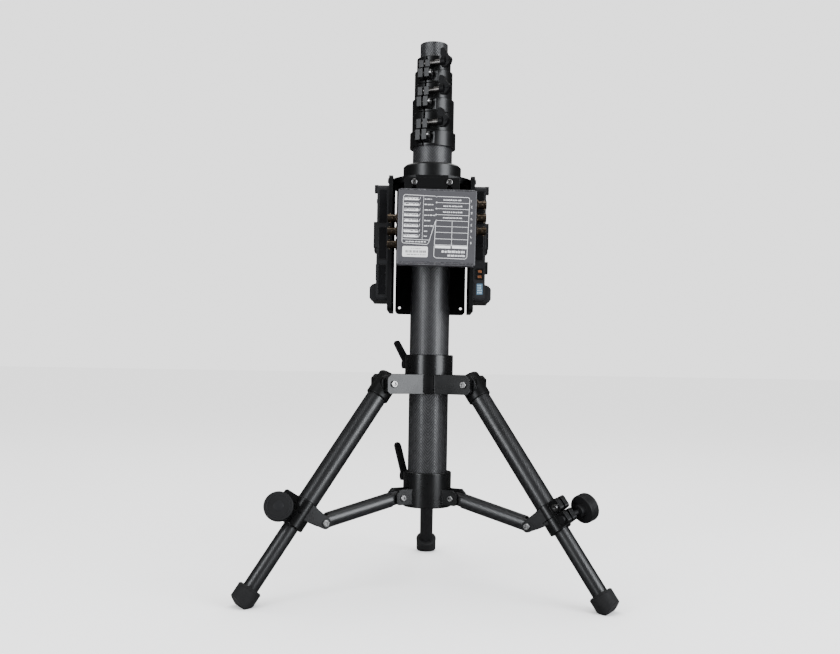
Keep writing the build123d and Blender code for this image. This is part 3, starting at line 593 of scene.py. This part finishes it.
def box_print(white, dark, label):
    rng = random.Random(7)
    pale_marks, dark_marks = bmesh.new(), bmesh.new()
    stroke(pale_marks, [at(u, v) for u, v in PANEL_OUTLINE], 0.50, *PRINT, closed=True)
    for v, length in SWITCH_ROWS:
        switch_row(pale_marks, dark_marks, rng, v, length)
    stroke(pale_marks, [at(.324, .085), at(.318, .668)], 0.30, *PRINT)
    stroke(pale_marks, [at(.068, .668), at(.418, .676)], 0.42, *PRINT)
    words(pale_marks, rng, .11 * BOX_W, .375 * BOX_W, .702 * BOX_H, 1.6, *PRINT)
    for v in (.168, .250, .331, .409):
        stroke(pale_marks, [at(.488, v), at(.903, v + .004)], 0.42, *PRINT)
        dot = rounded(.480 * BOX_W, v * BOX_H - 0.7, .500 * BOX_W, v * BOX_H + 0.7, 0.6, 3)
        polygon(pale_marks, dot, *PRINT)
    for v in (.133, .215, .295, .372):
        words(pale_marks, rng, .576 * BOX_W, .820 * BOX_W, v * BOX_H, 1.8, *PRINT)
    for v in (.489, .569, .657, .737):
        stroke(pale_marks, [at(.484, v - .002), at(.898, v + .002)], 0.40, *PRINT)
    stroke(pale_marks, [at(.694, .411), at(.692, .748)], 0.40, *PRINT)
    for u0, u1 in ((.484, .680), (.700, .893)):
        polygon(pale_marks, [at(u0, .745), at(u1, .748), at(u1, .782), at(u0, .779)], *PRINT)
    words(pale_marks, rng, .570 * BOX_W, .868 * BOX_W, .826 * BOX_H, 3.4, *PRINT)
    words(pale_marks, rng, .645 * BOX_W, .868 * BOX_W, .878 * BOX_H, 2.6, *PRINT)
    for k, v in enumerate(FIGURE_ROWS, 1):
        digit(pale_marks, k, .9375 * BOX_W, v * BOX_H, 2.1, 0.42, *PRINT)
    piece("box_print", "mast", white, pale_marks, box_face())
    piece("box_print_dark", "mast", dark, dark_marks, box_face())

    bm = bmesh.new()
    polygon(bm, rounded(.070 * BOX_W, .764 * BOX_H, .394 * BOX_W, .907 * BOX_H, 1.8), *LABEL)
    piece("box_label", "mast", label, bm, box_face())
    bm = bmesh.new()
    for u0, u1 in ((.110, .150), (.160, .185), (.205, .265), (.285, .370)):
        u = u0 * BOX_W
        while u < u1 * BOX_W:
            bar = rng.uniform(0.35, 0.9)
            block(bm, u, .818 * BOX_H, u + bar, .850 * BOX_H, *LABEL_PRINT)
            u += bar + rng.uniform(0.25, 0.6)
    words(bm, rng, .180 * BOX_W, .300 * BOX_W, .792 * BOX_H, 0.9, *LABEL_PRINT)
    words(bm, rng, .130 * BOX_W, .375 * BOX_W, .876 * BOX_H, 1.3, *LABEL_PRINT)
    piece("box_label_print", "mast", dark, bm, box_face())


# ---- small parts --------------------------------------------------------------
# Body, radius, and the ends of the pocket in each lower clamp ring.
POCKETS = (("mast", 29.0, 558.5, 572.8), ("section_2", 26.5, 601.35, 614.3),
           ("section_3", 24.0, 637.85, 650.1))
POCKET_AZ, POCKET_HALF, POCKET_EDGE_TURN = 245.2, 13.5, 251.0
# Heights of the moulded panels on a battery plate's edges.
HIGH_PANELS, LOW_PANEL = ((456.0, 496.0), (412.0, 450.0)), (368.0, 404.0)
PLATE_EDGE_Y = 44.0
SCREW_Y, LOW_SCREW_Z, HIGH_SCREW_Z = 33.0, 389.0, 484.0
KNOB_TEETH = 84
BOOT_RING_S = 294.4                             # down the leg
# Side of the box and the heights of its three sockets from the box's middle.
SOCKET_ROWS = ((-1, (-20.4, -4.6, 11.2)), (1, (-1.6, 14.2, 30.0)))
SOCKET_Y = -65.0
THREAD_FOOT, THREAD_PITCH, THREAD_TURNS = 676.4, 1.59, 8


def arm_grooves(body, half, start, z0, z1, dark, bright):
    """A near-black strip of painted shade down each cheek where it runs into its collar, for the shade in the
    milled line there, with a raised edge beside it whose paler finish is partly a painted highlight.
    """
    groove, edge = bmesh.new(), bmesh.new()
    for az in LEG_AZ.values():
        for s in (-1, 1):
            place = rotation(az, "Z") @ Matrix.Diagonal((1, s, 1, 1))
            placed_rbox(groove, place, start, start + 1.5, half - 0.6, half + 0.10, z0, z1, 0.08)
            placed_rbox(edge, place, start + 1.5, start + 2.2, half - 0.6, half + 0.32, z0, z1, 0.08)
    piece(f"{body}_arm_groove_shade", body, dark, groove)
    piece(f"{body}_arm_edge_highlight", body, bright, edge)


def ring_edges(mat):
    """The bright chamfer down the far side of the pocket in each lower clamp ring; its paler finish is partly
    a painted highlight.
    """
    for n, (body, r, z0, z1) in enumerate(POCKETS, 1):
        az = math.radians(POCKET_AZ) + math.asin(POCKET_HALF / r)
        bm = bmesh.new()
        rbox(bm, -0.9, 0.15, -0.65, 0.65, z0, z1, 0.1)
        spot = Matrix.Translation((r * math.cos(az), r * math.sin(az), 0.0))
        piece(f"ring_edge_{n}", body, mat, bm, spot @ rotation(POCKET_EDGE_TURN, "Z"))


def battery_details(side, sign, panel, gloss, brass, steel):
    """Moulded panels on the plate's edges, contact blades in its block and its fixing screws."""
    flip = Matrix.Diagonal((sign, 1, 1, 1))
    panels, ribs = bmesh.new(), bmesh.new()
    for face in (-1, 1):
        y = PLATE_EDGE_Y * face
        panel_y, rib_y = sorted((y, y + 0.25 * face)), sorted((y, y + 0.4 * face))
        # the power socket takes the low panel's place on the right plate's front edge
        low = (LOW_PANEL,) if sign < 0 or face > 0 else ()
        for z0, z1 in HIGH_PANELS + low:
            rbox(panels, 55.2, 64.6, panel_y[0] - 0.2, panel_y[1] + 0.2, z0, z1, 0.3)
            for z in (z0 - 1.2, z1 + 0.7):
                rbox(ribs, 54.6, 65.2, rib_y[0] - 0.2, rib_y[1] + 0.1, z, z + 0.5, 0.15)
    piece(f"battery_panel_{side}", "mast", panel, panels, flip)
    piece(f"battery_rib_{side}", "mast", gloss, ribs, flip)
    bm = bmesh.new()
    for k in range(4):
        rbox(bm, 67.5, 70.6, -10.2 + 6.4 * k, -9.0 + 6.4 * k, 441.0, 457.0, 0.2)
    piece(f"battery_blades_{side}", "mast", brass, bm, flip)
    bm = bmesh.new()
    for y in (-SCREW_Y, SCREW_Y):
        for z in (LOW_SCREW_Z, HIGH_SCREW_Z):
            # there is no lower screw on the release button's side
            if z > LOW_SCREW_Z or y * sign > 0:
                lathe(bm, [(0.0, 0.4), (1.3, 0.4), (1.3, 1.0), (2.5, 1.0), (2.9, 0.5), (2.9, -0.6)], 24,
                      matrix=along_x(67.0, y, z))
    piece(f"battery_screws_{side}", "mast", steel, bm, flip, 30)
    bm = bmesh.new()
    for k in range(9):
        rbox(bm, 66.9, 67.5, -22.0 + 5.0 * k, -20.0 + 5.0 * k, 404.0, 412.0, 0.2)
    piece(f"battery_grip_{side}", "mast", gloss, bm, flip)


def socket_contacts(copper):
    """The two contacts in the power socket's mouths."""
    bm = bmesh.new()
    for z in (391.6, 397.9):
        rbox(bm, 58.4, 62.6, -45.2, -38.0, z - 1.7, z + 1.7, 0.25)
    piece("socket_contacts", "mast", copper, bm)


def edge_label(film, marks):
    """The small label low on the right plate's front edge, with four lines of marks."""
    bm = bmesh.new()
    rbox(bm, 57.0, 64.2, -44.16, -43.9, 369.5, 383.0, 0.1)
    piece("edge_label", "mast", film, bm)
    bm = bmesh.new()
    rng = random.Random(3)
    for z in (380.6, 377.7, 374.8, 371.9):
        x = 57.9
        while x < 62.8:
            w = rng.uniform(0.5, 1.9)
            rbox(bm, x, min(x + w, 63.4), -44.24, -44.1, z - 0.75, z + 0.75)
            x += w + rng.uniform(0.4, 0.8)
    piece("edge_label_marks", "mast", marks, bm)


def knob_details(n, grip, cap):
    """The teeth round a leg knob and the ring and button on its face."""
    m = leg_frame(n) @ rotation(CLAMP_TURN, "Z") @ Matrix.Translation(KNOB_PLACE) @ rotation(90.0, "X")
    bm = bmesh.new()
    for k in range(KNOB_TEETH):
        turn = Matrix.Rotation(2 * math.pi * k / KNOB_TEETH, 4, "Z")
        placed_rbox(bm, turn, 16.7, 17.35, -0.30, 0.30, -4.8, 4.8, 0.12)
    piece(f"knob_grip_{n}", f"knob_{n}", grip, bm, m)
    bm = bmesh.new()
    lathe(bm, [(13.8, 6.3), (13.6, 6.9), (12.9, 6.9), (12.7, 6.3)], 64)
    lathe(bm, [(0.0, 7.1), (4.4, 7.0), (5.6, 6.8), (6.0, 6.3)])
    piece(f"knob_face_{n}", f"knob_{n}", cap, bm, m, 40)


def boot_rings(n, mat):
    """The moulded ring round a foot."""
    bm = bmesh.new()
    lathe(bm, ridge(14.3, 14.95, BOOT_RING_S, 0.7, 0.35), 56)
    piece(f"boot_rings_{n}", f"shank_{n}", mat, bm, leg_frame(n), 40)


def socket_rings(pale, nut):
    """The insulators, nuts and thread crests of the box's round sockets."""
    rings, nuts = bmesh.new(), bmesh.new()
    turn = box_frame() @ Matrix.Translation((-BOX_X, 0, -BOX_Z))
    for s, rows in SOCKET_ROWS:
        for dz in rows:
            spot = Matrix.Translation((BOX_X + s * BOX_W / 2, SOCKET_Y, BOX_Z + dz))
            base = turn @ spot @ rotation(90.0 * s, "Y")
            lathe(rings, [(3.9, 4.2), (3.9, 8.6), (3.4, 9.2), (2.4, 9.2), (2.4, 4.2)], 32, matrix=base)
            lathe(nuts, [(6.9, 0.0), (6.9, 1.9), (6.4, 2.35), (4.9, 2.35)], 6, matrix=base)
            for z in (6.4, 7.4):
                lathe(nuts, ridge(4.7, 5.05, z, 0.35, 0.15), 40, matrix=base)
    piece("socket_insulators", "mast", pale, rings, None, 40)
    piece("socket_nuts", "mast", nut, nuts, None, 25)


def top_thread(mat):
    """The thread inside the mast's top."""
    bm = bmesh.new()
    for k in range(THREAD_TURNS):
        lathe(bm, ridge(4.9, 4.35, THREAD_FOOT + THREAD_PITCH * k, 0.7, 0.1), 32)
    piece("top_thread", "section_4", mat, bm, None, 40)


def cap_screws(mat):
    """Set screws round the head's cap."""
    bm = bmesh.new()
    for az in (45.0, 135.0):
        lathe(bm, [(0.0, 33.2), (1.0, 33.2), (1.0, 34.4), (1.9, 34.4), (1.9, 32.0)], 20,
              matrix=rotation(az, "Z") @ along_x(0, 0, 524.0))
    piece("cap_set_screws", "mast", mat, bm, None, 30)


def box_screws(mat):
    """Countersunk screws in the cover's folded lips."""
    bm = bmesh.new()
    for s in (-1, 1):
        for x in (-34.0, 34.0):
            spot = Matrix.Translation((x, -73.5, s * (BOX_H / 2 + 1.0)))
            lathe(bm, [(0.0, 0.05), (0.8, 0.05), (0.8, 0.35), (2.2, 0.35), (2.5, 0.1), (2.5, -0.3)], 24,
                  matrix=box_frame() @ spot @ Matrix.Rotation(0.0 if s > 0 else math.pi, 4, "X"))
    piece("box_screws", "mast", mat, bm, None, 30)


make_camera()
make_studio()

# ---- finishes -----------------------------------------------------------------
STAINLESS = (0.36, 0.355, 0.35)
black = anodised("black_anodised", rough=0.34)
hub_black = anodised("collar_anodised", shade=0.0022, rough=0.27)
cast_black = anodised("cast_black", shade=0.0016, rough=0.40, edge=0.0009, level=0.32)
plate_black = painted("plate_black", (0.0010, 0.0010, 0.0012), 0.42, grain=1900.0, strength=0.25,
                      wear=(0.010, 0.010, 0.011), level=0.3)
box_grey = painted("box_grey", (0.036, 0.0355, 0.040), 0.42, grain=2200.0, strength=0.14, edge=0.0009,
                   wear=(0.20, 0.20, 0.21))
steel = metal("stainless", STAINLESS, 0.28)
nickel = metal("nickel_plate", (0.13, 0.108, 0.084), 0.30, brush=(1500.0, 60.0, 60.0),
               tarnish=(0.105, 0.072, 0.045))
dark_plastic = plastic("battery_plastic", (0.0072, 0.0073, 0.0084), 0.42)
button_black = plastic("button_plastic", (0.0045, 0.0045, 0.005), 0.34)
socket_black = plastic("socket_plastic", (0.0015, 0.0015, 0.0015), 0.36)
knob_black = plastic("knob_plastic", (0.0045, 0.0045, 0.005), 0.48, grain=1200.0, strength=0.30)
boot = rubber("boot_rubber", (0.0030, 0.0030, 0.0033))
board = circuit("solder_mask")
white_ink = ink("white_print", (0.56, 0.56, 0.57))
dark_ink = ink("dark_print", (0.035, 0.035, 0.040))
label_white = ink("label_film", (0.52, 0.52, 0.515), 0.38)

# across a mast clamp's ears: the lever's bright middle and the screw's bright end lie on this axis
ear_y = (-math.sin(math.radians(LEVER_AZ)), math.cos(math.radians(LEVER_AZ)), 0.0)
lever_black = plastic("lever_plastic", (0.0022, 0.0022, 0.0026), 0.44, level=0.12,
                      bands=(ear_y, -7.0, 21.3, (0.15, 0.142, 0.135), 0.34))
# the screw's shank between the ears is near black, painted shade in the gap there; only the end past the ears
# is steel
clamp_screw = plastic("clamp_screw", (0.012, 0.012, 0.012), 0.3, bands=(ear_y, 7.4, 30.0, STAINLESS, 0.28))
shadow = painted("groove_shadow", (0.0004, 0.0004, 0.0004), 0.8, level=0.05)
# paler anodising on the raised cheek edges and the pocket chamfers: partly a painted highlight, on top of the
# light these faces catch
painted_highlight_edge = anodised("edge_painted_highlight", shade=0.006, rough=0.30, wear=0.05)
panel_black = plastic("panel_plastic", (0.0026, 0.0026, 0.0031), 0.28, grain=2200.0, strength=0.12)
rib_black = plastic("rib_plastic", (0.0070, 0.0071, 0.0080), 0.40)
brass = metal("contact_brass", (0.55, 0.38, 0.16), 0.30)
copper = metal("contact_copper", (0.62, 0.25, 0.12), 0.42)
dark_steel = metal("black_steel", (0.10, 0.10, 0.105), 0.32)
insulator = plastic("insulator", (0.30, 0.29, 0.26), 0.45)
label_blue = ink("blue_film", (0.040, 0.085, 0.13), 0.40)
label_marks = ink("blue_film_marks", (0.20, 0.28, 0.34), 0.40)

mast_carbon = carbon("mast_carbon", Matrix.Identity(4), folds=9, radius=25.0, fold_shift=-0.5, dark=1.05)
finish = {"top_plug": black, "head_cap": black, "head_flange": plate_black, "rear_plate": plate_black,
          "front_bracket": plate_black, "head_screws": steel, "box_case": box_grey, "box_cover": box_grey,
          "box_sockets": nickel, "box_board": board, "power_socket": socket_black}
for side in ("left", "right"):
    finish.update({f"side_plate_{side}": plate_black, f"battery_plate_{side}": dark_plastic,
                   f"battery_button_{side}": button_black})
for level in ("upper", "lower"):
    finish.update({f"{level}_collar": hub_black, f"{level}_lever": knob_black, f"{level}_pivot_bolts": steel})
for n in range(1, 5):
    finish[f"mast_tube_{n}"] = mast_carbon
for n in range(1, 4):
    leg = carbon(f"leg_carbon_{n}", leg_frame(n), folds=7, radius=12.5, twill=2.9, dark=0.45, gloss=0.03,
                 relief=0.2)
    strut = carbon(f"strut_carbon_{n}", strut_frame(n), folds=1, radius=9.3, span=(12.5, STRUT_LEN - 8.0),
                   twill=3.0, fold_shift=0.5, dark=0.6, gloss=0.03, relief=0.25)
    finish.update({f"leg_tube_{n}": leg, f"leg_shank_{n}": leg, f"leg_hinge_{n}": cast_black,
                   f"leg_clamp_{n}": hub_black, f"leg_bolts_{n}": steel, f"leg_knob_{n}": knob_black,
                   f"leg_foot_{n}": boot, f"strut_{n}": strut, f"mast_clamp_{n}": black,
                   f"mast_clamp_screw_{n}": clamp_screw, f"mast_lever_{n}": lever_black})
for name, mat in finish.items():
    ob = bpy.data.objects[name]
    if ob.data.materials:
        for slot in ob.material_slots:
            slot.material = mat
    else:
        ob.data.materials.append(mat)

box_print(white_ink, dark_ink, label_white)
arm_grooves("hub", 23.0, 19.6, 247.0, 269.4, shadow, painted_highlight_edge)
arm_grooves("collar", 12.6, 27.2, 108.6, 125.4, shadow, painted_highlight_edge)
ring_edges(painted_highlight_edge)
for side, sign in (("left", -1), ("right", 1)):
    battery_details(side, sign, panel_black, rib_black, brass, dark_steel)
socket_contacts(copper)
edge_label(label_blue, label_marks)
for n in range(1, 4):
    knob_details(n, knob_black, rib_black)
    boot_rings(n, boot)
socket_rings(insulator, nickel)
top_thread(dark_steel)
cap_screws(dark_steel)
box_screws(dark_steel)
